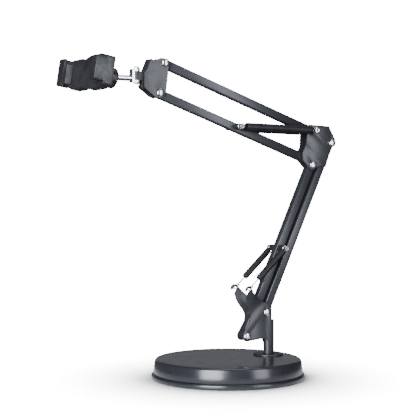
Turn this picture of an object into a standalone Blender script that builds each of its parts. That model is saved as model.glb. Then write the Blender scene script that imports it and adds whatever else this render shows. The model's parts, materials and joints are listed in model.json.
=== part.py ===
"""Desk stand: round weighted base, swivel post, two-link scissor arm and phone clamp.

Lengths below are millimetres and become metres where a mesh is made. The arm lies in the
XZ plane with the clamp towards -X, and the origin is the centre of the base's underside.
"""

import math

import bmesh
import bpy
from mathutils import Matrix, Vector

MM = 0.001
GAP = 0.3  # air left between neighbouring pieces

# Base
BASE_R = 88.5
RIM_R = 91.0
BASE_TOP = 24.0
RIM_TOP = 6.2
SHOULDER_R = 3.0
DRAFT = 0.5  # the cover's side is this much narrower at the shoulder
SHEET = 1.5
BALLAST_TOP = 12.0
BALLAST_HUB_TOP = 20.5

# Post
POST_X = 56.0
POST_R = 5.2
STEM_R = 4.0  # where it passes through the ballast
NUT_ROOM_R = 13.0
BUSH_R = 8.3
FLANGE_R = 18.0
FLANGE_TOP = 25.8
FOLD_BOTTOM = 26.1  # lower edge of the lower bracket

# Linkage: pivots as (x, z), link lengths, and angles from +X towards +Z in degrees
P1 = Vector((22.35, 48.6))
LOWER_LINK = 225.8
LOWER_ANGLE = 65.34
SHOULDER_SPAN = 38.9
SHOULDER_ANGLE = 44.8
ELBOW_TOP = Vector((-0.85, 42.1))  # P5 seen from P3
UPPER_LINK = 214.9
UPPER_ANGLE = 160.41
HEAD_SPAN = 35.35
HEAD_ANGLE = 79.1

TUBE = 10.0
TUBE_WALL = 1.2
TUBE_END = 6.5  # from the pivot to the cut end of the tube
SCREW_R = 1.9
HOLE_R = 2.25
HEAD_R = 4.75
HEAD_H = 2.4

BRACKET_IN = 5.6  # half the inner width of the lower bracket
ELBOW_IN = 5.4
ELBOW_STEP = 1.2
ELBOW_FOLD = Vector((8.0, 15.7))  # seen from P3: where the lower left lobe starts to step in
ELBOW_FOLD_WIDE = 4.5  # the step is spread over this much
PIN_SEAT = 0.9  # depth of the blind seats that hold the hidden elbow pin
HEAD_IN = 6.1

# Balance springs
LOWER_ANCHOR = 114.5  # from P1 along the link
UPPER_ANCHOR = 106.0  # from Q along the link
# Along a spring from its hub: the sleeve's two ends and the coil's end. The wire that slides
# into it is measured from the far point.
LOWER_SPRING = {"sleeve_r": 4.0, "sleeve": (4.6, 51.3), "coil_end": 24.0, "wire": 32.0}
UPPER_SPRING = {"sleeve_r": 5.0, "sleeve": (6.0, 99.0), "coil_end": 96.0, "wire": 39.6}
LOWER_SPRING_Y = 15.9
UPPER_SPRING_Y = 13.4
PIN_PAST_SPRING = 3.6  # from the spring's middle to the seat of the pin's head
SPACER_SHORT = 1.4  # from the spring's middle to the end of its spacer
SLEEVE_WALL = 1.1
COIL_WALL = 0.5
ANCHOR_RISE = 1.0  # the upper anchor sits this much above the tube's middle
WIRE_R = 0.6
RING_HALF_WIDE = 3.0  # inside the ring that hangs on a claw
CLAW = P1 + Vector((-3.7, 56.3))
CLAW_IN = 2.2
CLAW_OUT = 4.9
BEND_AT = P1 + Vector((3.9, 27.0))
BEND_ALONG = 40.0  # degrees
BEND_HALF = 5.0  # the bend is spread over this much each way

# Head and clamp
NECK_X = -33.0  # pan pin, seen from F1
NOSE_R = 3.4
NOSE_LOW = -20.9  # seen from F1
NOSE_HIGH = -11.3
EAR = 2.5
EAR_R = 4.2
STUD_Z = -19.0
BALL_X = -70.0
BALL_R = 7.0
CLAMP_TILT = 9.0
CLAMP_YAW = 5.0  # the ball is turned this much at rest, near end towards +X
JAW_SPLIT = 10.3  # where the fixed and the sliding half of the clamp meet

FINISHES = {
    "black_paint": ((0.035, 0.037, 0.042), 0.42, 0.3),
    "black_nylon": ((0.012, 0.012, 0.013), 0.5, 0.0),
    "chrome": ((0.82, 0.83, 0.85), 0.12, 1.0),
    "steel": ((0.45, 0.46, 0.48), 0.35, 1.0),
    "iron": ((0.12, 0.12, 0.13), 0.7, 0.6),
    "rubber": ((0.03, 0.03, 0.031), 0.8, 0.0),
}


def towards(angle):
    return Vector((math.cos(math.radians(angle)), math.sin(math.radians(angle))))


P2 = P1 + SHOULDER_SPAN * towards(SHOULDER_ANGLE)
P3 = P1 + LOWER_LINK * towards(LOWER_ANGLE)
P4 = P2 + LOWER_LINK * towards(LOWER_ANGLE)
P5 = P3 + ELBOW_TOP
Q = P5 - HEAD_SPAN * towards(HEAD_ANGLE)
F1 = P5 + UPPER_LINK * towards(UPPER_ANGLE)
F2 = Q + UPPER_LINK * towards(UPPER_ANGLE)
A1 = P1 + LOWER_ANCHOR * towards(LOWER_ANGLE)
A2 = Q + UPPER_ANCHOR * towards(UPPER_ANGLE) + Vector((0, ANCHOR_RISE))
BALL = F1 + Vector((BALL_X, STUD_Z))


# Shapes -----------------------------------------------------------------------------


def arc(centre, radius, start, stop, steps):
    """Points of an arc, its angles in degrees."""
    turns = [start + (stop - start) * k / steps for k in range(steps + 1)]
    return [centre + radius * towards(a) for a in turns]


def rounded(corners, radius, steps=3):
    """The outline through the corners, each one filleted; a corner may give its own radius."""
    points = []
    count = len(corners)
    for k, corner in enumerate(corners):
        here = Vector(corner[:2])
        r = corner[2] if len(corner) > 2 else radius
        before = (Vector(corners[k - 1][:2]) - here).normalized()
        after = (Vector(corners[(k + 1) % count][:2]) - here).normalized()
        half = before.angle(after) / 2
        if r <= 0 or half > math.radians(85):
            points.append(here)
            continue
        middle = here + (before + after).normalized() * (r / math.sin(half))
        first = here + before * (r / math.tan(half)) - middle
        swing = (here + after * (r / math.tan(half)) - middle).angle_signed(first)
        for step in range(steps + 1):
            points.append(middle + Matrix.Rotation(swing * step / steps, 2) @ first)
    return points


def place(u, v, h, axis):
    """A point with h along the axis; (u, v) are the other two world axes in order."""
    return {"X": (h, u, v), "Y": (u, h, v), "Z": (u, v, h)}[axis]


def prism(outline, low, high, axis="Y"):
    """The outline extruded along an axis."""
    mesh = bmesh.new()
    bottom = [mesh.verts.new(place(p[0], p[1], low, axis)) for p in outline]
    face = mesh.faces.new(bottom)
    raised = bmesh.ops.extrude_face_region(mesh, geom=[face])["geom"]
    top = [v for v in raised if isinstance(v, bmesh.types.BMVert)]
    bmesh.ops.translate(mesh, verts=top, vec=Vector(place(0, 0, high - low, axis)))
    return mesh


def turned(profile, sides=16, axis="Z", at=(0, 0), into=None, loop=False):
    """Profile points (radius, height) turned about an axis through the point at."""
    mesh = into or bmesh.new()
    rings = []
    for radius, height in profile:
        count = sides if radius > 0 else 1
        ring = []
        for k in range(count):
            spoke = towards(360 * (k + 0.5) / sides) * radius
            ring.append(mesh.verts.new(place(at[0] + spoke.x, at[1] + spoke.y, height, axis)))
        rings.append(ring)
    pairs = list(zip(rings, rings[1:]))
    if loop:
        pairs.append((rings[-1], rings[0]))
    for one, two in pairs:
        for k in range(sides):
            a, b = one[k % len(one)], one[(k + 1) % len(one)]
            c, d = two[(k + 1) % len(two)], two[k % len(two)]
            corners = []
            for vert in (a, b, c, d):
                if vert not in corners:
                    corners.append(vert)
            if len(corners) > 2:
                mesh.faces.new(corners)
    for ring in () if loop else (rings[0], rings[-1]):
        if len(ring) > 1:
            mesh.faces.new(ring)
    return mesh


def washer(inner, outer, low, high, sides=16, axis="Z", at=(0, 0)):
    profile = [(inner, low), (outer, low), (outer, high), (inner, high)]
    return turned(profile, sides, axis, at, loop=True)


def along(mesh, start, angle):
    """Turns a mesh made along +X about the Y axis to the given direction, and moves it."""
    turn = Matrix.Rotation(-math.radians(angle), 4, "Y")
    bmesh.ops.transform(mesh, matrix=turn, verts=mesh.verts)
    bmesh.ops.translate(mesh, verts=mesh.verts, vec=(start.x, 0, start.y))
    return mesh


def shift_y(mesh, distance):
    bmesh.ops.translate(mesh, verts=mesh.verts, vec=(0, distance, 0))
    return mesh


# Objects ----------------------------------------------------------------------------


def finish(name, kind):
    colour, roughness, metallic = FINISHES[kind]
    material = bpy.data.materials.new(f"{name}_{kind}")
    material.use_nodes = True
    shader = material.node_tree.nodes["Principled BSDF"]
    shader.inputs["Base Color"].default_value = (*colour, 1)
    shader.inputs["Roughness"].default_value = roughness
    shader.inputs["Metallic"].default_value = metallic
    return material


def solid(name, mesh, kind, pivot=(0, 0, 0), local=False, parent=None):
    """An object from a millimetre mesh, with its origin at the pivot."""
    pivot = Vector(pivot)
    if not local:
        bmesh.ops.translate(mesh, verts=mesh.verts, vec=-pivot)
    bmesh.ops.scale(mesh, vec=(MM, MM, MM), verts=mesh.verts)
    bmesh.ops.recalc_face_normals(mesh, faces=mesh.faces)
    data = bpy.data.meshes.new(name)
    mesh.to_mesh(data)
    mesh.free()
    data.shade_smooth()
    data.set_sharp_from_angle(angle=math.radians(35))
    obj = bpy.data.objects.new(name, data)
    bpy.context.scene.collection.objects.link(obj)
    if kind:
        data.materials.append(finish(name, kind))
    if parent:
        obj.parent = parent
    else:
        obj.location = pivot * MM
    return obj


def tool(obj, name, mesh, operation):
    """A hidden Boolean operand, its mesh made about the object's own origin."""
    helper = solid(name, mesh, None, local=True, parent=obj)
    helper.hide_render = True
    helper.display_type = "WIRE"
    step = obj.modifiers.new(name, "BOOLEAN")
    step.operation = operation
    step.object = helper


def moved(mesh, pivot):
    bmesh.ops.translate(mesh, verts=mesh.verts, vec=-Vector(pivot))
    return mesh


def holes(obj, pivot, spots, radius=HOLE_R, reach=30.0):
    """Cross holes along Y at the (x, z) spots."""
    mesh = bmesh.new()
    for spot in spots:
        turned([(radius, -reach), (radius, reach)], 12, "Y", spot, mesh)
    tool(obj, obj.name + "_holes", moved(mesh, pivot), "DIFFERENCE")


def pivot_at(point, y=0.0):
    return (point.x, y, point.y)


# Base -------------------------------------------------------------------------------


def base():
    """Pressed cover over an iron ballast, on a rolled rim and a rubber foot."""
    post_axis = (POST_X, 0)
    inner_r = BASE_R - SHEET
    middle = Vector((BASE_R - DRAFT - SHOULDER_R, BASE_TOP - SHOULDER_R))
    corner = arc(middle, SHOULDER_R, 90, 0, 3)
    skirt = RIM_TOP + GAP
    under = [(inner_r, skirt), (inner_r - DRAFT, BASE_TOP - SHOULDER_R)]
    under += [(inner_r - 2.0, BASE_TOP - SHEET), (0, BASE_TOP - SHEET)]
    cover = solid("base_shell", turned([(0, BASE_TOP), *corner, (BASE_R, skirt), *under], 64),
                  "black_paint")
    bore = turned([(BUSH_R + GAP, BASE_TOP - 9), (BUSH_R + GAP, BASE_TOP + 9)], 20, at=post_axis)
    tool(cover, "base_shell_bore", bore, "DIFFERENCE")

    rim = [(BASE_R - 4, 0.6), (RIM_R - 0.8, 0.6), (RIM_R, 1.4), (RIM_R, RIM_TOP - 1.2)]
    rim += [(RIM_R - 1.2, RIM_TOP), (BASE_R - 4, RIM_TOP)]
    solid("base_rim", turned(rim, 64, loop=True), "black_paint")
    solid("foot_pad", turned([(BASE_R - 4.4, 0), (BASE_R - 4.4, 1.5)], 48), "rubber")

    weight = solid("base_ballast", turned([(83.5, 1.8), (83.5, BALLAST_TOP)], 48), "iron")
    hub = turned([(17.0, BALLAST_TOP - 1), (15.0, BALLAST_HUB_TOP)], 20, at=post_axis)
    tool(weight, "base_ballast_hub", hub, "UNION")
    stem = STEM_R + 1.0
    bore = turned([(NUT_ROOM_R, 0), (NUT_ROOM_R, 9.5), (stem, 9.5), (stem, 30)], 16, at=post_axis)
    tool(weight, "base_ballast_bore", bore, "DIFFERENCE")

    low, seat = BALLAST_HUB_TOP + GAP, BASE_TOP + GAP
    bush = [(POST_R + GAP, low), (BUSH_R, low), (BUSH_R, seat), (FLANGE_R, seat)]
    bush += [(FLANGE_R, seat + 0.8), (FLANGE_R - 0.8, FLANGE_TOP), (POST_R + GAP, FLANGE_TOP)]
    solid("flanged_bush", turned(bush, 32, at=post_axis, loop=True), "black_nylon",
          (POST_X, 0, 0))


# Post and lower bracket -------------------------------------------------------------


def post():
    """Rod that turns in the bush, held down by a nut in the hollow under the ballast."""
    axis = (POST_X, 0, 0)
    top, step = P1.y + 17.0, BALLAST_HUB_TOP + GAP + 0.1
    shaft = [(0, 3.5), (STEM_R - 0.5, 3.5), (STEM_R, 4.0), (STEM_R, step), (POST_R, step)]
    shaft += [(POST_R, top), (0, top)]
    solid("post", turned(shaft, 20, at=(POST_X, 0)), "black_paint", axis)
    nut = washer(STEM_R + 1.0, 7.5, 4.2, 9.0, 6, at=(POST_X, 0))
    solid("post_nut", nut, "steel", axis)
    lower_bracket()


def horn_outline():
    """Claw and horn of one side plate, from the waist up over the claw and down the right edge."""
    claw = arc(CLAW, CLAW_OUT, 15, 205, 10)
    notch = arc(CLAW, CLAW_IN, 205, -40, 10)
    left = [P1 + Vector(p) for p in ((-5.4, 49.5), (-3.6, 41.0), (3.0, 29.0))]
    right = [P1 + Vector(p) for p in ((20.5, 40.8), (12.0, 46.0), (5.0, 52.5))]
    return right + claw + notch + left


def side_plate():
    """One side plate of the lower bracket with its horn bent outward."""
    foot = [P1 + Vector(p) for p in ((4.6, 24.0), (3.6, 17.5), (0.2, 12.0))]
    lobe = arc(P1, 6.2, 140, 262, 6)
    strip_x = POST_X - 2.3
    low = [Vector((P1.x + 23.5, P1.y - 3.6)), Vector((strip_x - 3.4, P1.y - 5.0))]
    low += [Vector((strip_x - 0.8, P1.y - 9.0)), Vector((strip_x, P1.y - 14.0))]
    low += [Vector((strip_x, FOLD_BOTTOM)), Vector((POST_X, FOLD_BOTTOM))]
    top = [Vector((POST_X, P1.y + 18.0)), Vector((POST_X + 0.6, P1.y + 18.6))]
    top += [Vector((POST_X + 0.6, P1.y + 35.0)), Vector((POST_X - 1.6, P1.y + 37.6))]
    outline = foot + lobe + low + top + horn_outline()
    mesh = prism(outline, BRACKET_IN, BRACKET_IN + SHEET)
    across = Vector((-math.sin(math.radians(BEND_ALONG)), math.cos(math.radians(BEND_ALONG))))
    slope = (LOWER_SPRING_Y - BRACKET_IN - SHEET / 2) / (CLAW - BEND_AT).dot(across)
    for share in (-1, -0.34, 0.34, 1):
        spot = BEND_AT + across * (share * BEND_HALF)
        bmesh.ops.bisect_plane(
            mesh, geom=mesh.verts[:] + mesh.edges[:] + mesh.faces[:],
            plane_co=(spot.x, 0, spot.y), plane_no=(across.x, 0, across.y),
        )
    for vert in mesh.verts:
        reach = (Vector((vert.co.x, vert.co.z)) - BEND_AT).dot(across)
        if reach > BEND_HALF:
            vert.co.y += slope * reach
        elif reach > -BEND_HALF:
            vert.co.y += slope * (reach + BEND_HALF) ** 2 / (4 * BEND_HALF)
    return mesh


def lower_bracket():
    """Sheet folded round the post, with a lobed plate on each side of the arm."""
    axis = (POST_X, 0, 0)
    bracket = solid("lower_bracket", side_plate(), "black_paint", axis)
    other = side_plate()
    bmesh.ops.scale(other, vec=(1, -1, 1), verts=other.verts)
    tool(bracket, "lower_bracket_front", moved(other, axis), "UNION")
    centre = Vector((POST_X, 0))
    legs = Vector((-1.0, 0))
    outer, inner = BRACKET_IN + SHEET, BRACKET_IN
    fold = [centre + legs + Vector((0, -outer))] + arc(centre, outer, -90, 90, 10)
    fold += [centre + legs + Vector((0, outer)), centre + legs + Vector((0, inner))]
    fold += arc(centre, inner, 90, -90, 10) + [centre + legs + Vector((0, -inner))]
    wrap = prism(fold, FOLD_BOTTOM, P1.y + 18.0, "Z")
    tool(bracket, "lower_bracket_fold", moved(wrap, axis), "UNION")
    holes(bracket, axis, (P1, P2))


# Arm links --------------------------------------------------------------------------


def square(half, radius, x):
    loop = rounded([(half, half), (-half, half), (-half, -half), (half, -half)], radius, 2)
    return [(x, p.x, p.y) for p in loop]


def loft(loops):
    """Faces between loops of equally many points, the last joined back to the first."""
    mesh = bmesh.new()
    rings = [[mesh.verts.new(p) for p in loop] for loop in loops]
    for ring, after in zip(rings, rings[1:] + rings[:1]):
        for n in range(len(ring)):
            m = (n + 1) % len(ring)
            mesh.faces.new((ring[n], ring[m], after[m], after[n]))
    return mesh


def square_tube(length):
    """A hollow square tube along +X between its two cut ends."""
    half = TUBE / 2
    inner = half - TUBE_WALL
    ends = (TUBE_END, length - TUBE_END)
    return loft([square(half, 1.2, x) for x in ends] + [square(inner, 0.5, x) for x in ends[::-1]])


def end_plug(name, pivot, angle, body_pivot):
    """Moulded end of a tube: a round-nosed block with a spigot inside the tube."""
    half = TUBE / 2 - 0.05
    nose = arc(Vector((0, 0)), half, 90, 270, 8)
    stop = TUBE_END - GAP
    block = prism(nose + [Vector((stop, -half)), Vector((stop, half))], -half, half)
    plug = solid(name, along(block, pivot, angle), "black_nylon", body_pivot)
    spigot_half = TUBE / 2 - TUBE_WALL - GAP
    spigot = prism([(p[1], p[2]) for p in square(spigot_half, 0.4, 0)], stop - 1, stop + 12, "X")
    tool(plug, name + "_spigot", moved(along(spigot, pivot, angle), body_pivot), "UNION")
    holes(plug, body_pivot, (pivot,))


def link(name, start, length, angle, anchor=None):
    """One square tube with its two end plugs."""
    body_pivot = pivot_at(start)
    tube = solid(name, along(square_tube(length), start, angle), "black_paint", body_pivot)
    if anchor:
        holes(tube, body_pivot, (anchor,))
    end_plug(name + "_near_plug", start, angle, body_pivot)
    end_plug(name + "_far_plug", start + length * towards(angle), angle + 180, body_pivot)


def pivot_screw(name, spot, outside, body_pivot, head=HEAD_H):
    """Pan-head screw along Y with a dome nut behind, outside = half width over the plates."""
    seat = outside + GAP
    profile = [(0, -seat - head), (HEAD_R * 0.55, -seat - head), (HEAD_R * 0.9, -seat - head * 0.6)]
    profile += [(HEAD_R, -seat - head * 0.2), (HEAD_R, -seat), (SCREW_R, -seat), (SCREW_R, seat)]
    profile += [(4.0, seat), (4.0, seat + 1.8), (2.2, seat + 3.0), (0, seat + 3.0)]
    solid(name, turned(profile, 12, "Y", spot), "chrome", body_pivot)


def cross_pin(name, spot, reach, body_pivot, head_r=3.6):
    """Pin along Y with a low head at each end."""
    profile = [(0, -reach - 1.8), (head_r * 0.7, -reach - 1.8), (head_r, -reach - 0.8)]
    profile += [(head_r, -reach), (SCREW_R, -reach), (SCREW_R, reach), (head_r, reach)]
    profile += [(head_r, reach + 0.8), (head_r * 0.7, reach + 1.8), (0, reach + 1.8)]
    solid(name, turned(profile, 12, "Y", spot), "chrome", body_pivot)


def spacers(prefix, spot, spring_y, body_pivot):
    """Black sleeves that hold the springs away from the tube."""
    for side, sign in (("front", -1), ("rear", 1)):
        near, far = TUBE / 2 + GAP, spring_y - SPACER_SHORT
        ring = washer(HOLE_R, 4.0, min(sign * near, sign * far), max(sign * near, sign * far),
                      16, "Y", spot)
        solid(f"{prefix}_spacer_{side}", ring, "black_nylon", body_pivot)


def spring_pair(prefix, hub, far, spring_y, sizes, ring):
    """Two balance springs from the pin at hub to the far point, each in its black sleeve.

    The coil hangs on the hub. The wire of the far hook runs inside the sleeve and slides as the
    spring changes length.
    """
    run = far - hub
    angle = math.degrees(math.atan2(run.y, run.x))
    sleeve_r, sleeve, coil_end = sizes["sleeve_r"], sizes["sleeve"], sizes["coil_end"]
    coil_r = sleeve_r - SLEEVE_WALL - GAP
    bore_r = coil_r - COIL_WALL
    for side, sign in (("front", -1), ("rear", 1)):
        y = sign * spring_y
        loop = washer(HOLE_R, HOLE_R + 2 * WIRE_R, -WIRE_R, WIRE_R, 14, "Y")
        coil = solid(f"{prefix}_spring_{side}", shift_y(along(loop, hub, angle), y), "chrome",
                     pivot_at(hub))
        neck = turned([(WIRE_R, HOLE_R + WIRE_R), (WIRE_R, sleeve[0] + 2)], 8, "X")
        tool(coil, coil.name + "_neck", moved(shift_y(along(neck, hub, angle), y),
                                              pivot_at(hub)), "UNION")
        barrel = [(0, sleeve[0] + 1), (coil_r, sleeve[0] + 1), (coil_r, coil_end)]
        barrel += [(bore_r, coil_end), (bore_r, sleeve[0] + 2), (0, sleeve[0] + 2)]
        cup = shift_y(along(turned(barrel, 12, "X"), hub, angle), y)
        tool(coil, coil.name + "_barrel", moved(cup, pivot_at(hub)), "UNION")
        wall = washer(sleeve_r - SLEEVE_WALL, sleeve_r, sleeve[0], sleeve[1], 16, "X")
        solid(f"{prefix}_sleeve_{side}", shift_y(along(wall, hub, angle), y), "black_nylon",
              pivot_at(hub))
        spring_hook(f"{prefix}_hook_{side}", far, angle + 180, sizes["wire"], y, ring)


def spring_hook(name, far, angle, reach, y, ring):
    """Far end of the spring wire, from its ring at the far point to inside the sleeve."""
    if ring == "pin":
        loop = washer(HOLE_R, HOLE_R + 2 * WIRE_R, -WIRE_R, WIRE_R, 14, "Y")
        start = HOLE_R + WIRE_R
    else:
        near, beyond = GAP, CLAW_OUT + GAP
        loop = loft([claw_ring(near, beyond, grow, high)
                     for grow, high in ((0, -1), (1, -1), (1, 1), (0, 1))])
        start = beyond + WIRE_R
    hook = solid(name, shift_y(along(loop, far, angle), y), "chrome", pivot_at(far))
    wire = turned([(WIRE_R, start), (WIRE_R, reach)], 8, "X")
    tool(hook, name + "_wire", moved(shift_y(along(wire, far, angle), y), pivot_at(far)), "UNION")


def claw_ring(near, beyond, grow, high):
    """One edge of the squarish ring: its inside, or with grow its outside, on one face."""
    more = 2 * WIRE_R * grow
    wide = RING_HALF_WIDE + more
    corners = [(near - more, -wide), (beyond + more, -wide), (beyond + more, wide)]
    corners.append((near - more, wide))
    return [(p.x, p.y, WIRE_R * high) for p in rounded(corners, 0.7 + more)]


def lower_arm():
    link("lower_tube_left", P1, LOWER_LINK, LOWER_ANGLE, A1)
    link("lower_tube_right", P2, LOWER_LINK, LOWER_ANGLE)
    shoulder = (POST_X, 0, 0)
    pivot_screw("shoulder_screw_low", P1, BRACKET_IN + SHEET, shoulder)
    pivot_screw("shoulder_screw_high", P2, BRACKET_IN + SHEET, shoulder)
    cross_pin("lower_anchor_pin", A1, LOWER_SPRING_Y + PIN_PAST_SPRING, pivot_at(P1))
    spacers("lower", A1, LOWER_SPRING_Y, pivot_at(P1))
    spring_pair("lower", A1, CLAW, LOWER_SPRING_Y, LOWER_SPRING, "claw")


def upper_arm():
    link("upper_tube_top", P5, UPPER_LINK, UPPER_ANGLE)
    link("upper_tube_bottom", Q, UPPER_LINK, UPPER_ANGLE, A2)
    cross_pin("upper_anchor_pin", A2, UPPER_SPRING_Y + PIN_PAST_SPRING, pivot_at(Q))
    spacers("upper", A2, UPPER_SPRING_Y, pivot_at(Q))
    spring_pair("upper", P5, A2, UPPER_SPRING_Y, UPPER_SPRING, "pin")


# Elbow ------------------------------------------------------------------------------


def elbow_plate():
    """One elbow plate: its lower left lobe is pressed in close to the tubes."""
    corners = [(-8.6, 49.6, 3), (23.2, 48.2, 2), (33.4, 30.2, 5), (24.6, 17.6, 6)]
    corners += [(19.2, -2.6, 2), (12.0, -0.8, 3), (5.4, -3.6, 2), (-1.4, -7.2, 4)]
    corners += [(-14.6, 5.6, 5), (-15.2, 14.6, 4), (-10.4, 24.0, 6)]
    outline = [P3 + p for p in rounded(corners, 3.0)]
    mesh = prism(outline, ELBOW_IN + ELBOW_STEP, ELBOW_IN + ELBOW_STEP + SHEET)
    fold = P3 + ELBOW_FOLD
    across = Vector((0.52, 0.85)).normalized()
    for cut in (0.0, -ELBOW_FOLD_WIDE):
        spot = fold + across * cut
        bmesh.ops.bisect_plane(
            mesh, geom=mesh.verts[:] + mesh.edges[:] + mesh.faces[:],
            plane_co=(spot.x, 0, spot.y), plane_no=(across.x, 0, across.y),
        )
    for vert in mesh.verts:
        reach = (Vector((vert.co.x, vert.co.z)) - fold).dot(across)
        vert.co.y -= ELBOW_STEP * min(max(-reach / ELBOW_FOLD_WIDE, 0.0), 1.0)
    return mesh


def elbow():
    """Two plates with their screws, and a pin held between them in blind seats."""
    axis = pivot_at(P3)
    seat_y = ELBOW_IN + PIN_SEAT
    for name, sign in (("elbow_plate_front", -1), ("elbow_plate_rear", 1)):
        mesh = elbow_plate()
        bmesh.ops.scale(mesh, vec=(1, sign, 1), verts=mesh.verts)
        plate = solid(name, mesh, "black_paint", axis)
        holes(plate, axis, (P3, P4, P5))
        seats = turned([(HOLE_R, -seat_y), (HOLE_R, seat_y)], 12, "Y", Q)
        tool(plate, name + "_seat", moved(seats, axis), "DIFFERENCE")
    outer = ELBOW_IN + ELBOW_STEP + SHEET
    pivot_screw("elbow_screw_low", P3, ELBOW_IN + SHEET, axis)
    pivot_screw("elbow_screw_right", P4, outer, axis)
    cross_pin("elbow_spring_pin", P5, UPPER_SPRING_Y + PIN_PAST_SPRING, axis, 4.3)
    pin = [(0, GAP - seat_y), (SCREW_R, GAP - seat_y), (SCREW_R, seat_y - GAP), (0, seat_y - GAP)]
    solid("elbow_pin", turned(pin, 12, "Y", Q), "steel", axis)


# Head -------------------------------------------------------------------------------


def head():
    axis = pivot_at(F1)
    corners = [(-17.7, 4.4, 0.6), (-15.4, 1.2, 0.5), (-5.5, 5.4, 2), (5.4, 4.2, 5), (3.4, -14, 3)]
    corners += [(0.9, -33.5, 4), (-6.5, -41.0, 5), (-14.0, -38.8, 2), (-26.3, -29.6, 1.5)]
    corners += [(-26.5, -12.6, 2), (-23.4, -9.0, 3)]
    outline = [F1 + p for p in rounded(corners, 1.0)]
    bracket = solid("head_bracket", prism(outline, -HEAD_IN - SHEET, HEAD_IN + SHEET),
                    "black_paint", axis)
    room = [(-24.8, -60), (-24.8, -13.0), (-21.9, -9.4), (-14.2, 10), (20, 10), (20, -60)]
    pocket = prism([F1 + Vector(p) for p in room], -HEAD_IN, HEAD_IN)
    tool(bracket, "head_bracket_pocket", moved(pocket, axis), "DIFFERENCE")
    holes(bracket, axis, (F1, F2))
    outside = HEAD_IN + SHEET
    pivot_screw("head_screw_top", F1, outside, axis)
    pivot_screw("head_screw_bottom", F2, outside, axis)
    neck(axis)
    yoke()


def neck(axis):
    """Black block on the bracket's web, with a round nose that carries the pan pin."""
    corners = [(-24.6, -8.6), (-27.4, -11.4), (-27.7, -11.4), (-27.7, -26.2), (-30.0, -26.2)]
    corners += [(-27.0, -32.0), (-26.8, -12.6)]
    outline = [F1 + p for p in rounded(corners, 0.4, 2)]
    block = solid("neck_block", prism(outline, -4.6, 4.6), "black_nylon", axis)
    pin_x = F1.x + NECK_X
    low, high = F1.y + NOSE_LOW, F1.y + NOSE_HIGH
    nose = prism([Vector((F1.x - 27.2, NOSE_R)), *arc(Vector((pin_x, 0)), NOSE_R, 90, 270, 10),
                  Vector((F1.x - 27.2, -NOSE_R))], low, high, "Z")
    tool(block, "neck_block_nose", moved(nose, axis), "UNION")
    bore = turned([(HOLE_R, F1.y - 40), (HOLE_R, F1.y)], 12, "Z", (pin_x, 0))
    tool(block, "neck_block_bore", moved(bore, axis), "DIFFERENCE")


def yoke():
    """Chrome fork round the neck's nose, its pin, and the ball stud screwed into it."""
    pin_x = F1.x + NECK_X
    axis = (pin_x, 0, F1.y - 16.0)
    plan = [Vector((pin_x - 7.0, -EAR_R)), *arc(Vector((pin_x, 0)), EAR_R, -90, 90, 10),
            Vector((pin_x - 7.0, EAR_R))]
    low, high = F1.y + NOSE_LOW - GAP, F1.y + NOSE_HIGH + GAP
    body = solid("yoke", prism(plan, low - EAR, high + EAR, "Z"), "chrome", axis)
    room = [(pin_x - 4.1, low), (pin_x + 9, low), (pin_x + 9, high), (pin_x - 4.1, high)]
    tool(body, "yoke_room", moved(prism([Vector(p) for p in room], -9, 9), axis), "DIFFERENCE")
    bore = turned([(HOLE_R, F1.y - 40), (HOLE_R, F1.y)], 12, "Z", (pin_x, 0))
    tool(body, "yoke_bore", moved(bore, axis), "DIFFERENCE")
    socket = turned([(2.4, pin_x - 12), (2.4, pin_x - 3.5)], 12, "X", (0, F1.y + STUD_Z))
    tool(body, "yoke_socket", moved(socket, axis), "DIFFERENCE")
    below, above = low - EAR - GAP, high + EAR + GAP
    pin = [(0, below - 1.4), (2.8, below - 1.4), (2.8, below), (SCREW_R, below)]
    pin += [(SCREW_R, above), (3.6, above), (3.4, above + 1.4), (2.2, above + 3.0)]
    pin += [(0, above + 3.4)]
    solid("pan_pin", turned(pin, 14, "Z", (pin_x, 0)), "chrome", axis)
    shoulder = BALL_X - NECK_X + 7.0 + GAP
    stud = [(0, shoulder - 3.1), (2.1, shoulder - 3.1), (2.1, shoulder), (3.4, shoulder), (3.4, -6.1)]
    stud += [(BALL_R * math.cos(math.radians(a)), BALL_R * math.sin(math.radians(a)))
             for a in (-45, -22, 0, 22, 45, 68)]
    stud += [(0, BALL_R)]
    flip = [(r, BALL.x - h) for r, h in stud]
    solid("ball_stud", turned(flip, 16, "X", (0, BALL.y)), "chrome", axis)


# Clamp: made with its facing direction along -X, then tipped and turned about the ball --


def clamp_solid(name, mesh, kind, centre):
    return solid(name, mesh, kind, local=True, parent=centre)


def block(u0, u1, v0, v1, w0, w1, radius=1.0):
    """A block u along the facing direction, v along Y and w up, with rounded (v, w) corners."""
    corners = [(v0, w0), (v1, w0), (v1, w1), (v0, w1)]
    return prism(rounded(corners, radius, 2), -u1, -u0, "X")


def clamp():
    centre = bpy.data.objects.new("clamp_centre", None)
    bpy.context.scene.collection.objects.link(centre)
    centre.location = Vector(pivot_at(BALL)) * MM
    centre.rotation_euler = (0, math.radians(CLAMP_TILT), math.radians(CLAMP_YAW))
    bpy.context.view_layer.update()

    grip = [(9.3 * math.cos(math.radians(a)), 9.3 * math.sin(math.radians(a)))
            for a in (-26, -13, 0, 13, 25)]
    grip += [(BALL_R + GAP, grip[-1][1]), (BALL_R + GAP, grip[0][1])]
    grip = turned(grip, 20, "X", loop=True)
    clamp_solid("ball_grip", grip, "black_nylon", centre)
    ring = [(9.6, -7.2), (11.4, -7.2), (11.8, -6.4), (11.8, 8.4), (10.8, 9.5), (7.4, 9.5)]
    ring += [(7.4, 7.6), (9.6, 7.6)]
    clamp_solid("lock_ring", turned(ring, 24, "X", loop=True), "black_nylon", centre)
    fixed_jaw(centre)
    sliding_jaw(centre)
    pads(centre)


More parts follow.
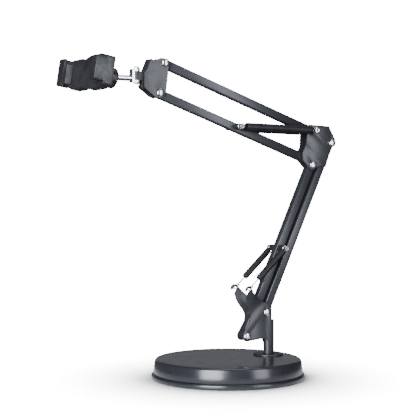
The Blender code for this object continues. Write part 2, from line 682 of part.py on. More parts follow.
def fixed_jaw(centre):
    """Clamp body with the ball socket's boss behind and the near hook in front."""
    corners = [(-40, -16.5, 3), (-33, -17, 2), (-27, -19, 4), (-3, -19, 4)]
    corners += [(JAW_SPLIT - GAP, -15.8, 2), (JAW_SPLIT - GAP, 15.8, 2), (-3, 19, 4)]
    corners += [(-27, 19, 4), (-33, 17, 2), (-40, 16.5, 3)]
    body = clamp_solid("clamp_body", prism(rounded(corners, 2.0), -24, -13, "X"),
                       "black_nylon", centre)
    tool(body, "clamp_body_boss", turned([(9.8, -13.5), (9.8, -7.6)], 24, "X"), "UNION")
    tool(body, "clamp_body_hook", block(23.5, 36, -40, -29, -13, 14, 2.5), "UNION")
    tool(body, "clamp_body_channel", block(15.8, 21.2, -31, 30, -9.2, 9.2, 0.6), "DIFFERENCE")
    tool(body, "clamp_body_spring_room", block(16.2, 20.8, -31, 30, 10.4, 15.0, 0.6), "DIFFERENCE")
    coil = washer(1.0, 1.8, -29.5, JAW_SPLIT - 0.6, 12, "Y", (-18.5, 12.7))
    clamp_solid("clamp_spring", coil, "steel", centre)


def sliding_jaw(centre):
    """Sprung jaw: a plate with its hook, and a tongue that slides in the clamp body."""
    corners = [(JAW_SPLIT, -15.4, 2), (16, -17, 3), (36, -17, 3), (42, -14, 2), (50, -14, 4)]
    corners += [(50, 16.5, 4), (42, 16.5, 2), (36, 17, 3), (16, 17, 3), (JAW_SPLIT, 15.4, 2)]
    jaw = clamp_solid("sliding_jaw", prism(rounded(corners, 2.0), -24, -13, "X"),
                      "black_nylon", centre)
    tool(jaw, "sliding_jaw_hook", block(23.5, 36, 39, 50, -14.5, 16.5, 2.5), "UNION")
    tool(jaw, "sliding_jaw_lip", block(33, 36, 36.4, 41, -14.5, 16.5, 0.8), "UNION")
    tool(jaw, "sliding_jaw_tongue", block(16.2, 20.8, -29.5, 14, -8.8, 8.8, 0.4), "UNION")


def pads(centre):
    near = block(25.2, 35, -28.7, -26.9, -11, 11, 0.6)
    clamp_solid("near_pad", near, "rubber", centre)
    far = block(24.4, 32.6, 36.8, 38.7, -11, 11, 0.6)
    clamp_solid("far_pad", far, "rubber", centre)


def main():
    for old in list(bpy.data.objects):
        bpy.data.objects.remove(old)
    base()
    post()
    lower_arm()
    elbow()
    upper_arm()
    head()
    clamp()


main()
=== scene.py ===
import json
import math

import bmesh
import bpy
from mathutils import Matrix, Vector


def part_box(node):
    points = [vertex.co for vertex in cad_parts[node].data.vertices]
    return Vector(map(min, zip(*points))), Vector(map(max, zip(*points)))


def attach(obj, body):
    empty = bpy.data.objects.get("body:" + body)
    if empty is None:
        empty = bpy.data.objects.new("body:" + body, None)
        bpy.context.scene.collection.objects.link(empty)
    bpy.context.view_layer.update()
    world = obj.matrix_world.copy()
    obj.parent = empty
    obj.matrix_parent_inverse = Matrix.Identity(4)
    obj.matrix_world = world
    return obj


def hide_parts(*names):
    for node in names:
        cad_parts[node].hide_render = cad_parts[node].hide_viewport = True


# Looks of the spring arm desk stand. Lengths in the builders below are millimetres and become
# metres where a mesh is made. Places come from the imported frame: its joints and boxes.

MM = 0.001
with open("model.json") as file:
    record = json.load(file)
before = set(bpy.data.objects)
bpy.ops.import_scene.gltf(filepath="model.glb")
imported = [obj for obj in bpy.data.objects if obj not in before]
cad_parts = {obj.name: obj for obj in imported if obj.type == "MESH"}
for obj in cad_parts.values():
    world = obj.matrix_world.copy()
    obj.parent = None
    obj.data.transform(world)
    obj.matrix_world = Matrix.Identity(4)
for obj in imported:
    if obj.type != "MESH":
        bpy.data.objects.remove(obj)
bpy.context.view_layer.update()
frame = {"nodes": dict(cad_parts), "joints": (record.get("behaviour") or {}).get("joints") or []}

JOINTS = {joint["name"]: Vector(joint["pos_m"]) / MM for joint in frame["joints"]
          if "pos_m" in joint}

CAMERA_AT = (-0.68283, -1.17851, 0.21848)
CAMERA_YAW = -29.09
CAMERA_PITCH = -0.71
CAMERA_LENS = 99.54
SENSOR_WIDTH = 36.0

SHEET = 1.5
COVER_SHOULDER = 3.8  # radius of the base cover's upper edge
RIM_WIDE = 7.0
COVER_HOLE_R = 8.6
SHAFT_R = 1.9  # of the screws and cross pins
SCREW_HEAD = 2.4
SCREW_NUT = 3.0
TUBE = 10.0
TUBE_WALL = 1.2
TUBE_END = 6.5  # from the pivot to the cut end of the tube
WIRE_R = 0.6
HOOK_WIRE_R = 0.7
RING_WIRE_R = 0.75
SHANK_R = 1.0
LOOP_R = 3.0  # middle of the wire loops round the pins
HOOK_LOOP_R = 2.9
LOOP_START, LOOP_STOP, LOOP_STEPS = 28, 345, 22  # degrees from the way the wire leaves
SLEEVE_R = {"lower": 4.0, "upper": 5.0}
RECESS = (1.5, 2.4, 0.45)  # cross recess: depth, half length and half width of a bar
FLOOR_R = 2.2  # metres
FLOOR_FADE = (0.095, 0.22)  # metres from the middle, solid to clear
SURROUND = 18.0  # strength of the white that only the camera sees
AMBIENT = 0.10
LIGHT_COLOUR = (0.90, 0.93, 1.0)
LIGHT_TARGET = Vector((0.0, 0.0, 0.20))  # metres


# Places -------------------------------------------------------------------------------


def box(node):
    """Lowest and highest corners of a CAD node, in millimetres."""
    low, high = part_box(node)
    return Vector(low) / MM, Vector(high) / MM


def centre(node):
    low, high = box(node)
    return (low + high) / 2


def direction(start, end):
    return (end - start).normalized()


def frame_along(start, way):
    """A matrix whose +X runs along way and whose +Y is as near to world +Y as it can be."""
    x = way.normalized()
    z = x.cross(Vector((0, 1, 0))).normalized()
    y = z.cross(x)
    matrix = Matrix((x, y, z)).transposed().to_4x4()
    matrix.translation = start
    return matrix


# Materials ----------------------------------------------------------------------------


class Look:
    """A material's node tree, with the few node patterns that the finishes share."""

    def __init__(self, name):
        self.material = bpy.data.materials.new(name)
        self.material.use_nodes = True
        self.tree = self.material.node_tree
        self.shader = self.tree.nodes["Principled BSDF"]
        self.place = self.tree.nodes.new("ShaderNodeTexCoord").outputs["Object"]

    def join(self, source, target):
        self.tree.links.new(source, target)

    def noise(self, per_metre, detail=3.0, stretch=None):
        node = self.tree.nodes.new("ShaderNodeTexNoise")
        node.inputs["Scale"].default_value = per_metre
        node.inputs["Detail"].default_value = detail
        place = self.place
        if stretch:
            mapping = self.tree.nodes.new("ShaderNodeMapping")
            mapping.inputs["Scale"].default_value = stretch
            self.join(self.place, mapping.inputs["Vector"])
            place = mapping.outputs["Vector"]
        self.join(place, node.inputs["Vector"])
        return node.outputs["Fac"]

    def ramp(self, source, low, high, start=0.35, end=0.65):
        """Two-stop ramp. Each stop is a colour, or a number for a grey value."""
        node = self.tree.nodes.new("ShaderNodeValToRGB")
        for stop, position, value in zip(node.color_ramp.elements, (start, end), (low, high)):
            stop.position = position
            stop.color = (*value, 1) if hasattr(value, "__len__") else (value,) * 3 + (1,)
        self.join(source, node.inputs["Fac"])
        return node.outputs["Color"]

    def blend(self, factor, one, two):
        node = self.tree.nodes.new("ShaderNodeMix")
        node.data_type = "RGBA"
        self.join(factor, node.inputs["Factor"])
        for source, target in ((one, node.inputs[6]), (two, node.inputs[7])):
            if hasattr(source, "links"):
                self.join(source, target)
            else:
                target.default_value = (*source, 1)
        return node.outputs[2]

    def bump(self, source, depth_mm, strength=0.3, under=None):
        node = self.tree.nodes.new("ShaderNodeBump")
        node.inputs["Strength"].default_value = strength
        node.inputs["Distance"].default_value = depth_mm * MM
        self.join(source, node.inputs["Height"])
        if under:
            self.join(under, node.inputs["Normal"])
        return node.outputs["Normal"]

    def edges(self, start, end):
        """1 on convex edges, from the mesh's pointiness."""
        geometry = self.tree.nodes.new("ShaderNodeNewGeometry")
        return self.ramp(geometry.outputs["Pointiness"], 0.0, 1.0, start, end)


def powder_coat(name, colour, roughness, grain=0.05, cloud=1.2, wear=1.6):
    """Satin black powder coat: fine orange peel, faint cloudiness, edges rubbed a little paler."""
    look = Look(name)
    paler = tuple(min(1.0, c * cloud) for c in colour)
    rubbed = tuple(min(1.0, c * wear) for c in colour)
    cloudy = look.ramp(look.noise(38), colour, paler)
    worn = look.blend(look.edges(0.54, 0.64), cloudy, rubbed)
    look.join(worn, look.shader.inputs["Base Color"])
    uneven = look.ramp(look.noise(90), roughness - 0.02, roughness + 0.03)
    look.join(uneven, look.shader.inputs["Roughness"])
    peel = look.bump(look.noise(1500, 2.0), grain, 0.22)
    look.join(look.bump(look.noise(420, 1.0), grain, 0.08, peel), look.shader.inputs["Normal"])
    look.shader.inputs["Coat Weight"].default_value = 0.12
    look.shader.inputs["Coat Roughness"].default_value = 0.28
    return look.material


def moulded(name, colour, roughness, grain=0.03, scale=2200, gloss=0.5):
    """Injection-moulded plastic with a fine spark-eroded texture."""
    look = Look(name)
    paler = tuple(c * 1.5 + 0.002 for c in colour)
    look.join(look.ramp(look.noise(70), colour, paler), look.shader.inputs["Base Color"])
    look.join(look.ramp(look.noise(300), roughness - 0.05, roughness + 0.06),
              look.shader.inputs["Roughness"])
    look.join(look.bump(look.noise(scale, 2.0), grain, 0.25), look.shader.inputs["Normal"])
    look.shader.inputs["Specular IOR Level"].default_value = gloss
    return look.material


def plated(name, colour, roughness):
    """Bright plating: hairline scratches and slightly uneven polish."""
    look = Look(name)
    dull = tuple(c * 0.86 for c in colour)
    look.join(look.ramp(look.noise(240), dull, colour), look.shader.inputs["Base Color"])
    hairs = look.noise(600, 3.0, (1.0, 14.0, 1.0))
    look.join(look.ramp(hairs, roughness, roughness + 0.10), look.shader.inputs["Roughness"])
    look.join(look.bump(hairs, 0.006, 0.15), look.shader.inputs["Normal"])
    look.shader.inputs["Metallic"].default_value = 1.0
    return look.material


def cast(name):
    """Rough grey casting."""
    look = Look(name)
    look.join(look.ramp(look.noise(120, 5.0), (0.06, 0.06, 0.062), (0.15, 0.145, 0.14)),
              look.shader.inputs["Base Color"])
    look.join(look.bump(look.noise(500, 6.0), 0.3, 0.5), look.shader.inputs["Normal"])
    look.shader.inputs["Roughness"].default_value = 0.75
    look.shader.inputs["Metallic"].default_value = 0.5
    return look.material


def rubber(name):
    """Dull black rubber with a fine grain."""
    look = Look(name)
    look.join(look.ramp(look.noise(180), (0.03, 0.03, 0.032), (0.055, 0.055, 0.058)),
              look.shader.inputs["Base Color"])
    look.join(look.bump(look.noise(2600, 4.0), 0.06, 0.5), look.shader.inputs["Normal"])
    look.shader.inputs["Roughness"].default_value = 0.78
    return look.material


LOOKS = {
    "paint": powder_coat("powder_coat", (0.012, 0.0125, 0.015), 0.36),
    "plate": powder_coat("powder_coat_plates", (0.013, 0.0135, 0.016), 0.38),
    "base": powder_coat("powder_coat_base", (0.012, 0.0125, 0.0155), 0.22, 0.010, 1.1, 1.1),
    "nylon": moulded("moulded_nylon", (0.008, 0.008, 0.010), 0.42),
    "clamp": moulded("clamp_moulding", (0.008, 0.008, 0.0095), 0.38, 0.012, 1200),
    "sleeve": moulded("shrink_sleeve", (0.005, 0.005, 0.006), 0.42, 0.02, 900, 0.25),
    "chrome": plated("bright_plating", (0.86, 0.87, 0.89), 0.10),
    "zinc": plated("zinc_plating", (0.34, 0.34, 0.36), 0.34),
    "iron": cast("cast_iron"),
    "rubber": rubber("pad_rubber"),
}


# Meshes -------------------------------------------------------------------------------


def arc(middle, radius, start, stop, steps):
    turns = [math.radians(start + (stop - start) * k / steps) for k in range(steps + 1)]
    return [(middle[0] + radius * math.cos(a), middle[1] + radius * math.sin(a)) for a in turns]


def lathe(profile, sides, loop=False):
    """Profile points (radius, height) turned about +X, the height running along it."""
    mesh = bmesh.new()
    rings = []
    for radius, height in profile:
        count = sides if radius > 1e-6 else 1
        angles = [2 * math.pi * k / sides for k in range(count)]
        rings.append([mesh.verts.new((height, radius * math.cos(a), radius * math.sin(a)))
                      for a in angles])
    for one, two in list(zip(rings, rings[1:])) + ([(rings[-1], rings[0])] if loop else []):
        for k in range(sides):
            corners = []
            for vert in (one[k % len(one)], one[(k + 1) % len(one)],
                         two[(k + 1) % len(two)], two[k % len(two)]):
                if vert not in corners:
                    corners.append(vert)
            if len(corners) > 2:
                mesh.faces.new(corners)
    for ring in () if loop else (rings[0], rings[-1]):
        if len(ring) > 1:
            mesh.faces.new(ring)
    return mesh


def wire(points, radius, sides):
    """A round wire swept through the points, with closed ends."""
    mesh = bmesh.new()
    tangents = [direction(points[max(k - 1, 0)], points[min(k + 1, len(points) - 1)])
                for k in range(len(points))]
    side = tangents[0].orthogonal().normalized()
    rings = []
    for point, tangent in zip(points, tangents):
        side = (side - tangent * side.dot(tangent)).normalized()
        other = tangent.cross(side)
        rings.append([mesh.verts.new(point + radius * (side * math.cos(a) + other * math.sin(a)))
                      for a in (2 * math.pi * k / sides for k in range(sides))])
    for one, two in zip(rings, rings[1:]):
        for k in range(sides):
            m = (k + 1) % sides
            mesh.faces.new((one[k], one[m], two[m], two[k]))
    mesh.faces.new(rings[0])
    mesh.faces.new(rings[-1])
    return mesh


def moved(mesh, matrix):
    bmesh.ops.transform(mesh, matrix=matrix, verts=mesh.verts)
    return mesh


def mesh_data(name, mesh):
    """Blender mesh in metres from a millimetre bmesh, which is freed."""
    bmesh.ops.scale(mesh, vec=(MM, MM, MM), verts=mesh.verts)
    bmesh.ops.recalc_face_normals(mesh, faces=mesh.faces)
    data = bpy.data.meshes.new(name)
    mesh.to_mesh(data)
    mesh.free()
    return data


def shade(data, angle):
    """Smooth shading with edges kept sharp above an angle in degrees."""
    data.shade_smooth()
    data.set_sharp_from_angle(angle=math.radians(angle))


def piece(name, mesh, look, body, nodes=(), smooth=35):
    """A visible piece from a millimetre mesh, riding on a body and standing for CAD nodes."""
    data = mesh_data(name, mesh)
    shade(data, smooth)
    data.materials.append(LOOKS[look])
    obj = bpy.data.objects.new(name, data)
    bpy.context.scene.collection.objects.link(obj)
    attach(obj, body)
    if nodes:
        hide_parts(*nodes)
    return obj


def apply_modifiers(obj):
    graph = bpy.context.evaluated_depsgraph_get()
    data = bpy.data.meshes.new_from_object(obj.evaluated_get(graph))
    obj.modifiers.clear()
    obj.data = data


def cut(obj, mesh):
    """Cuts a millimetre mesh away from a piece."""
    helper = bpy.data.objects.new("tool", mesh_data("tool", mesh))
    bpy.context.scene.collection.objects.link(helper)
    step = obj.modifiers.new("cut", "BOOLEAN")
    step.operation, step.object = "DIFFERENCE", helper
    apply_modifiers(obj)
    bpy.data.objects.remove(helper)


def softened(node, look, body, width, segments=3):
    """The node's own shape with clean flat faces and rounded edges, as its visible piece."""
    mesh = bmesh.new()
    mesh.from_mesh(frame["nodes"][node].data)
    bmesh.ops.scale(mesh, vec=(1 / MM,) * 3, verts=mesh.verts)
    bmesh.ops.remove_doubles(mesh, verts=mesh.verts, dist=0.004)
    bmesh.ops.dissolve_limit(mesh, angle_limit=math.radians(0.8), verts=mesh.verts,
                             edges=mesh.edges)
    obj = piece(node + "_shape", mesh, look, body, (node,), 30)
    step = obj.modifiers.new("edges", "BEVEL")
    step.width, step.segments, step.limit_method = width * MM, segments, "ANGLE"
    step.angle_limit = math.radians(28)
    step.harden_normals = False
    apply_modifiers(obj)
    shade(obj.data, 50)


# Base ---------------------------------------------------------------------------------


def upright(x=0.0):
    """The frame that turns the lathe's +X up, about a vertical axis at x."""
    return Matrix.Translation((x, 0, 0)) @ Matrix.Rotation(-math.pi / 2, 4, "Y")


def base():
    """Pressed cover, rolled rim and swivel bush, each turned about its own axis."""
    low, high = box("base_shell")
    radius, top, skirt = high.x, high.z, low.z
    profile = [(0, top), (radius * 0.5, top)]
    profile += arc((radius - 1.2 - COVER_SHOULDER, top - COVER_SHOULDER), COVER_SHOULDER, 90, 4, 12)
    profile += [(radius - 0.6, top - 9), (radius, skirt + 0.9), (radius - 0.4, skirt)]
    profile += [(radius - SHEET, skirt), (radius - SHEET - 1, top - 4), (radius - 6, top - SHEET)]
    shell = piece("base_cover", moved(lathe(profile + [(0, top - SHEET)], 160), upright()),
                  "base", "base", ("base_shell",), smooth=40)
    axis = centre("flanged_bush")
    bore = moved(lathe([(COVER_HOLE_R, top - 9), (COVER_HOLE_R, top + 9)], 48), upright(axis.x))
    cut(shell, bore)
    shade(shell.data, 40)

    low, high = box("base_rim")
    inner = high.x - RIM_WIDE
    rim = [(inner, low.z), (high.x - 1.0, low.z)]
    rim += arc((high.x - 1.3, low.z + 1.3), 1.3, -80, 0, 5)
    rim += arc((high.x - 2.0, high.z - 2.0), 2.0, 0, 90, 6) + [(inner, high.z)]
    piece("base_rim_roll", moved(lathe(rim, 160, True), upright()), "base", "base",
          ("base_rim",), smooth=40)

    low, high = box("flanged_bush")
    outer, barrel, hollow, flange = (high.x - low.x) / 2, 8.3, 5.5, 1.5
    bush = [(hollow, low.z), (barrel, low.z), (barrel, high.z - flange), (outer, high.z - flange)]
    bush += arc((outer - 0.9, high.z - 0.9), 0.9, 0, 90, 5)
    bush += [(10.5, high.z), (9.7, high.z + 0.15), (8.9, high.z), (hollow, high.z)]
    piece("swivel_bush", moved(lathe(bush, 72, True), upright(axis.x)), "nylon", "base",
          ("flanged_bush",))


# Screws and pins ----------------------------------------------------------------------


def driver_bar(turn, depth, half_long, half_wide):
    """Cutter for one bar of a cross recess, narrowing with depth and opening towards -X."""
    mesh = bmesh.new()
    spin = Matrix.Rotation(math.radians(turn), 3, "X")
    rows = []
    for x, share in ((-1.0, 1.2), (depth, 0.42)):
        corners = ((-1, -1), (1, -1), (1, 1), (-1, 1))
        rows.append([mesh.verts.new(spin @ Vector((x, a * half_long * share, b * half_wide)))
                     for a, b in corners])
    for k in range(4):
        m = (k + 1) % 4
        mesh.faces.new((rows[0][k], rows[0][m], rows[1][m], rows[1][k]))
    mesh.faces.new(rows[0])
    mesh.faces.new(rows[1])
    return mesh


def facing_rear(at, y):
    """Lathe +X becomes world +Y, starting at height y over the point at."""
    return Matrix.Translation((at.x, y, at.z)) @ Matrix.Rotation(math.pi / 2, 4, "Z")


def pan_screw(node, body):
    """Pan-head machine screw with a cross recess, and a dome nut behind."""
    low, high = box(node)
    at, length = (low + high) / 2, high.y - low.y
    radius = (high.x - low.x) / 2
    dome = [(radius * math.sin(a), 1.55 * (1 - math.cos(a)))
            for a in (math.radians(90 * k / 10) for k in range(11))]
    profile = dome + [(radius, SCREW_HEAD - 0.25), (radius - 0.25, SCREW_HEAD)]
    nut = length - SCREW_NUT
    profile += [(SHAFT_R, SCREW_HEAD), (SHAFT_R, nut)]
    profile += [(3.8, nut), (4.0, nut + 0.3), (4.0, nut + 1.4), (3.5, nut + 1.9)]
    profile += [(2.9, nut + 2.5), (1.8, nut + 2.9), (0, length)]
    obj = piece(node + "_pan", moved(lathe(profile, 40), facing_rear(at, low.y)), "chrome", body,
                (node,))
    # Each screw has stopped at a turn of its own.
    turn = Matrix.Rotation(math.radians((at.x * 7 + at.z * 3) % 90), 4, "Y")
    around = Matrix.Translation((at.x, 0, at.z))
    place = around @ turn @ around.inverted() @ facing_rear(at, low.y)
    for bar in (0, 90):
        cut(obj, moved(driver_bar(bar, *RECESS), place))
    shade(obj.data, 35)


def riveted_pin(node, body, look="chrome"):
    """Cross pin with a rounded head at each end, each with a small centre dimple."""
    low, high = box(node)
    at, length, radius = (low + high) / 2, high.y - low.y, (high.x - low.x) / 2
    head = [(0, 0.45), (0.9, 0.25), (1.3, 0.0), (radius * 0.72, 0.05), (radius * 0.93, 0.5)]
    head += [(radius, 1.1), (radius, 1.8), (SHAFT_R, 1.8)]
    profile = head + [(r, length - h) for r, h in reversed(head)]
    piece(node + "_pin", moved(lathe(profile, 36), facing_rear(at, low.y)), look, body, (node,))


# Tubes --------------------------------------------------------------------------------


def tube(node, body, start, end):
    """Square tube with rounded corners, its two ends cut square and lightly broken."""
    matrix = frame_along(start, direction(start, end))
    length = (end - start).length
    half, inner = TUBE / 2, TUBE / 2 - TUBE_WALL
    corner, end_corner, inner_corner = 1.3, 1.15, 0.5
    broken, back = 0.15, 0.2  # how far the cut edge is broken, inwards and along the tube
    near, beyond = TUBE_END, length - TUBE_END
    loops = []
    for size, radius, x in ((half - broken, end_corner, near), (half, corner, near + back),
                            (half, corner, beyond - back), (half - broken, end_corner, beyond),
                            (inner, inner_corner, beyond), (inner, inner_corner, near)):
        loop = []
        for sx, sy, turn in ((1, 1, 0), (-1, 1, 90), (-1, -1, 180), (1, -1, 270)):
            middle = (sx * (size - radius), sy * (size - radius))
            loop += [(x, p[0], p[1]) for p in arc(middle, radius, turn, turn + 90, 5)]
        loops.append(loop)
    mesh = bmesh.new()
    rings = [[mesh.verts.new(p) for p in loop] for loop in loops]
    for ring, after in zip(rings, rings[1:] + rings[:1]):
        for n in range(len(ring)):
            m = (n + 1) % len(ring)
            mesh.faces.new((ring[n], ring[m], after[m], after[n]))
    piece(node + "_square", moved(mesh, matrix), "paint", body, (node,), smooth=40)


# Springs ------------------------------------------------------------------------------


def ring_points(middle, radius, across, up, start, stop, steps):
    """Points on an arc from start to stop degrees, measured from across towards up."""
    return [middle + radius * (across * math.cos(a) + up * math.sin(a))
            for a in (math.radians(start + (stop - start) * k / steps) for k in range(steps + 1))]


def coil_spring(prefix, side, sign, hub, far, sizes, body):
    """Wound wire from a loop round the hub pin to the coil's end inside the sleeve."""
    y = centre(f"{prefix}_sleeve_{side}").y
    start = Vector((hub.x, y, hub.z))
    way = direction(hub, far)
    up = Vector((0, sign, 0))
    side_way = way.cross(up)
    points = ring_points(start, LOOP_R, way, side_way, LOOP_START, LOOP_STOP, LOOP_STEPS)
    coil_r, first, last = sizes
    points.append(start + way * (LOOP_R + 1.0))
    pitch = 2 * WIRE_R * 1.06  # a hair of air between the turns
    turns = int((last - first) / pitch)
    steps = 12
    for k in range(turns * steps + 1):
        angle = 2 * math.pi * k / steps
        grow = min(1.0, k / steps)
        place = start + way * (first + pitch * k / steps)
        points.append(place + coil_r * grow * (side_way * math.cos(angle) + up * math.sin(angle)))
    piece(f"{prefix}_coil_{side}", wire(points, WIRE_R, 8), "chrome", body,
          (f"{prefix}_spring_{side}",), smooth=60)


def sleeve(prefix, side, hub, far, ends, body):
    """Shrink sleeve over a spring, with soft lips and a faint bulge along the coil."""
    node = f"{prefix}_sleeve_{side}"
    y = centre(node).y
    start = Vector((hub.x, y, hub.z))
    radius = SLEEVE_R[prefix]
    near, beyond = ends
    span = beyond - near
    lip_depth, lip_long = 0.35, 1.2
    outside = []
    for k in range(41):
        share = k / 40
        lip = lip_depth * math.exp(-((share * span) / lip_long) ** 2)
        lip += lip_depth * math.exp(-(((1 - share) * span) / lip_long) ** 2)
        ripple = 0.05 * math.sin(share * span * 0.9) + 0.04 * math.sin(share * span * 2.3 + 1)
        outside.append((radius - 0.1 + ripple - lip, near + share * span))
    inside = [(radius - 1.0, beyond - 0.2), (radius - 1.0, near + 0.2)]
    mesh = moved(lathe(outside + inside, 40, True), frame_along(start, direction(hub, far)))
    piece(node + "_shrunk", mesh, "sleeve", body, (node,), smooth=60)


def far_hook(prefix, side, sign, hub, far, reach, body):
    """Straight wire end: a loop round a pin, or a squarish ring hooked over a claw."""
    y = centre(f"{prefix}_sleeve_{side}").y
    start = Vector((far.x, y, far.z))
    way = direction(far, hub)
    up = Vector((0, sign, 0))
    node = f"{prefix}_hook_{side}"
    if prefix == "upper":
        points = ring_points(start, HOOK_LOOP_R, way, way.cross(up), LOOP_START, LOOP_STOP,
                             LOOP_STEPS)
        points += [start + way * 4.0, start + way * reach]
        piece(node + "_wire", wire(points, HOOK_WIRE_R, 12), "chrome", body, (node,), smooth=60)
        return
    low, high, wide, round_r = -0.4, 5.9, 3.6, 1.6
    corners = [Vector(c) for c in ((high, 0), (high, wide), (low, wide), (low, -wide),
                                   (high, -wide))]
    points = [start + way * high + up * 0.6]
    for k in range(1, 5):
        here = corners[k]
        back = (corners[k - 1] - here).normalized()
        ahead = (corners[(k + 1) % 5] - here).normalized()
        for step in range(6):
            t = step / 5
            spot = here + round_r * (back * (1 - t) ** 2 + ahead * t ** 2)
            points.append(start + way * spot.x + up * spot.y)
    points += [start + way * high - up * 0.3, start + way * (high + 1.2)]
    piece(node + "_ring", wire(points, RING_WIRE_R, 12), "chrome", body, (node,), smooth=60)
    shank = wire([start + way * high, start + way * reach], SHANK_R, 16)
    piece(node + "_shank", shank, "chrome", body, (), smooth=60)


def springs():
    """Both balance spring pairs in their sleeves."""
    # Coil radius with its first and last turn, the sleeve's ends, and how far the hook reaches.
    layout = (
        ("lower", JOINTS["lower_spring_swing"], JOINTS["lower_hook_swing"],
         (1.9, 5.6, 24.0), (4.6, 51.3), 32.0),
        ("upper", JOINTS["upper_spring_swing"], JOINTS["upper_hook_swing"],
         (2.9, 7.0, 96.0), (6.0, 99.0), 39.6),
    )
    for prefix, hub, far, sizes, ends, reach in layout:
        for side, sign in (("front", -1), ("rear", 1)):
            coil_spring(prefix, side, sign, hub, far, sizes, f"{prefix}_springs")
            sleeve(prefix, side, hub, far, ends, f"{prefix}_springs")
            far_hook(prefix, side, sign, hub, far, reach, f"{prefix}_hooks")


# The whole stand ----------------------------------------------------------------------


def carried(look, *nodes):
    """CAD nodes that are shown as they are, with a full material."""
    for node in nodes:
        data = frame["nodes"][node].data
        data.materials.clear()
        data.materials.append(LOOKS[look])


def arm():
    """The four square tubes between their pivots, with their end plugs."""
    shoulder, second = JOINTS["lower_arm"], JOINTS["lower_arm_second_link"]
    elbow_low, right = JOINTS["elbow_level"], centre("elbow_screw_right")
    top, bottom = JOINTS["upper_arm"], JOINTS["upper_arm_second_link"]
    head_top, head_low = JOINTS["head_level"], centre("head_screw_bottom")
    for at in (right, head_low):
        at.y = 0
    links = (("lower_tube_left", "lower_left_link", shoulder, elbow_low),
             ("lower_tube_right", "lower_right_link", second, right),
             ("upper_tube_top", "upper_top_link", top, head_top),
             ("upper_tube_bottom", "upper_bottom_link", bottom, head_low))
    for node, body, start, end in links:
        tube(node, body, start, end)
    for node, body, _, _ in links:
        for end in ("near", "far"):
            softened(f"{node}_{end}_plug", "nylon", body, 0.35)


def metalwork():
    """Folded plates, neck and fork, and every screw and pin."""
    softened("lower_bracket", "plate", "post", 0.3, 2)
    softened("elbow_plate_front", "plate", "elbow", 0.3, 2)
    softened("elbow_plate_rear", "plate", "elbow", 0.3, 2)
    softened("head_bracket", "plate", "head", 0.45, 3)
    softened("neck_block", "nylon", "head", 0.4)
    softened("yoke", "chrome", "yoke", 1.0, 4)
    for node, body in (("shoulder_screw_low", "post"), ("shoulder_screw_high", "post"),
                       ("elbow_screw_low", "elbow"), ("elbow_screw_right", "elbow"),
                       ("head_screw_top", "head"), ("head_screw_bottom", "head")):
        pan_screw(node, body)
    riveted_pin("lower_anchor_pin", "lower_left_link", "zinc")
    riveted_pin("upper_anchor_pin", "upper_bottom_link", "zinc")
    riveted_pin("elbow_spring_pin", "elbow")


def clamp_parts():
    """The phone clamp's mouldings and pads."""
    softened("clamp_body", "clamp", "clamp", 1.2, 4)
    softened("sliding_jaw", "clamp", "jaw", 1.2, 4)
    softened("near_pad", "rubber", "clamp", 0.5)
    softened("far_pad", "rubber", "jaw", 0.5)
    softened("lock_ring", "clamp", "ring", 0.3)


def floor():
    """Pale floor that fades into the white surround away from the stand."""
    mesh = bmesh.new()
    bmesh.ops.create_circle(mesh, cap_ends=True, segments=96, radius=FLOOR_R)
    data = bpy.data.meshes.new("floor")
    mesh.to_mesh(data)
    mesh.free()
    look = Look("pale_floor")
    tree = look.tree
    look.shader.inputs["Base Color"].default_value = (0.93, 0.93, 0.935, 1)
    look.shader.inputs["Roughness"].default_value = 0.85
    look.shader.inputs["Specular IOR Level"].default_value = 0.1
    distance = tree.nodes.new("ShaderNodeVectorMath")
    distance.operation = "LENGTH"
    look.join(look.place, distance.inputs[0])
    fade = look.ramp(distance.outputs["Value"], 1.0, 0.0, *FLOOR_FADE)
    look.join(fade, look.shader.inputs["Alpha"])
    data.materials.append(look.material)
    obj = bpy.data.objects.new("floor", data)
    obj.location.z = -0.0004
    bpy.context.scene.collection.objects.link(obj)


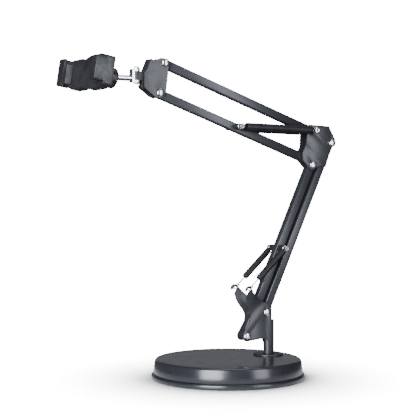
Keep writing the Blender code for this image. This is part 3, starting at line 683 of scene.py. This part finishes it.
def softbox(name, turn, rise, distance, width, height, watts):
    """Area light turn degrees to the right of the camera, seen from the stand."""
    yaw = math.radians(-90 + CAMERA_YAW + turn)
    flat = math.cos(math.radians(rise)) * distance
    offset = Vector((flat * math.cos(yaw), flat * math.sin(yaw),
                     math.sin(math.radians(rise)) * distance))
    data = bpy.data.lights.new(name, "AREA")
    data.shape, data.size, data.size_y, data.energy = "RECTANGLE", width, height, watts
    data.color = LIGHT_COLOUR
    obj = bpy.data.objects.new(name, data)
    obj.location = LIGHT_TARGET + offset
    obj.rotation_euler = (-offset).to_track_quat("-Z", "Y").to_euler()
    bpy.context.scene.collection.objects.link(obj)


def studio():
    """Camera, soft lights, and a surround that is white to the camera and dim to the object."""
    camera = bpy.data.cameras.new("camera")
    camera.sensor_width = SENSOR_WIDTH
    camera.lens = CAMERA_LENS
    obj = bpy.data.objects.new("camera", camera)
    obj.location = CAMERA_AT
    obj.rotation_euler = (math.radians(90 + CAMERA_PITCH), 0, math.radians(CAMERA_YAW))
    bpy.context.scene.collection.objects.link(obj)
    bpy.context.scene.camera = obj

    softbox("key_strip", -25, 8, 1.7, 0.95, 1.7, 118)
    softbox("broad_fill", 50, 8, 1.8, 0.7, 1.6, 25)
    softbox("overhead", 150, 80, 1.6, 1.2, 1.2, 12)
    softbox("backdrop", 182, 9, 2.2, 2.4, 0.7, 1.0)

    world = bpy.data.worlds.new("white_surround")
    world.use_nodes = True
    bpy.context.scene.world = world
    tree = world.node_tree
    shown = tree.nodes["Background"]
    shown.inputs["Color"].default_value = (1, 1, 1, 1)
    shown.inputs["Strength"].default_value = SURROUND
    ambient = tree.nodes.new("ShaderNodeBackground")
    ambient.inputs["Color"].default_value = (0.93, 0.95, 1.0, 1)
    ambient.inputs["Strength"].default_value = AMBIENT
    rays = tree.nodes.new("ShaderNodeLightPath")
    mix = tree.nodes.new("ShaderNodeMixShader")
    tree.links.new(rays.outputs["Is Camera Ray"], mix.inputs["Fac"])
    tree.links.new(ambient.outputs[0], mix.inputs[1])
    tree.links.new(shown.outputs[0], mix.inputs[2])
    tree.links.new(mix.outputs[0], tree.nodes["World Output"].inputs["Surface"])


studio()
floor()
base()
arm()
springs()
metalwork()
clamp_parts()
carried("paint", "post")
carried("nylon", "lower_spacer_front", "lower_spacer_rear", "upper_spacer_front",
        "upper_spacer_rear", "ball_grip")
carried("chrome", "pan_pin", "ball_stud")
carried("zinc", "post_nut", "clamp_spring", "elbow_pin")
carried("iron", "base_ballast")
carried("rubber", "foot_pad")
